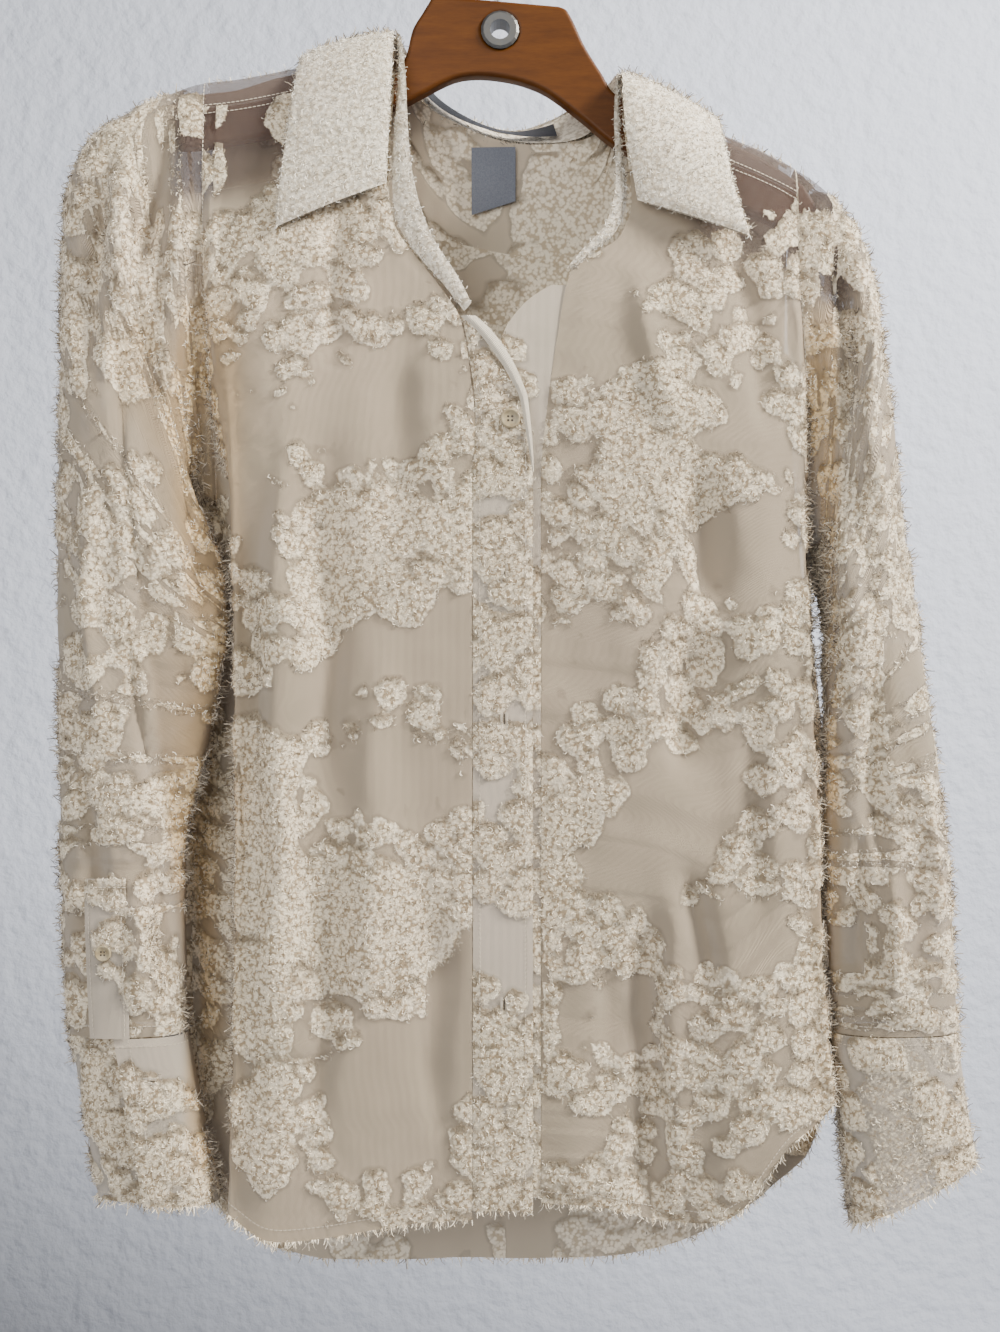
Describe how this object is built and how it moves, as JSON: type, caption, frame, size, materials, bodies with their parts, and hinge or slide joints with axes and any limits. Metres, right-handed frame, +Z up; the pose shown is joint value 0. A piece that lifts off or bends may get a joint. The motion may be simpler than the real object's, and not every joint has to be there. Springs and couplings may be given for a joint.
{
  "type": "button-down shirt on a wooden hanger",
  "caption": "Long-sleeved sheer jacquard button-down shirt with an open collar and a shirt-tail hem, hung on a flat wooden hanger.",
  "frame": {"origin": "inside of the top of the hook, where the hanger hangs on a rail; it is in the hanger's mid-plane", "axes": "+Z up, +X to the viewer's right when the front is seen, +Y from the front of the shirt to its back"},
  "size_m": [0.5399, 0.0883, 0.8324],
  "materials": {
    "cloth": "sheer jacquard ground with dense clipped pile figures",
    "collar_cloth": "the same jacquard, doubled and brighter",
    "band_cloth": "the same jacquard, doubled and pressed",
    "button_horn": "mottled horn look, four holes",
    "label_black": "black woven satin, bare",
    "label_slate": "slate woven satin, bare",
    "lacquered_wood": "orange brown satin lacquer",
    "eyelet_metal": "dull dark grey metal",
    "hook_wire": "bright plated wire"
  },
  "bodies": {
    "root": {"hanger_wood": "lacquered_wood", "hanger_eyelet": "eyelet_metal", "hanger_hook": "hook_wire", "front_right": "cloth", "front_left": "cloth", "yoke": "cloth", "back": "cloth", "sleeve_right": "cloth", "sleeve_left": "cloth", "collar_stand": "collar_cloth", "collar_leaf": "collar_cloth", "placket": "band_cloth", "under_placket": "band_cloth", "cuff_right": "band_cloth", "cuff_left": "band_cloth", "sleeve_placket_right": "band_cloth", "sleeve_placket_left": "band_cloth", "label_main": "label_black", "label_care": "label_slate", "button_front_1": "button_horn", "button_front_2": "button_horn", "button_front_3": "button_horn", "button_front_4": "button_horn", "button_front_5": "button_horn", "button_front_6": "button_horn", "button_gauntlet_right": "button_horn", "button_gauntlet_left": "button_horn", "button_cuff_left": "button_horn"}
  },
  "joints": []
}
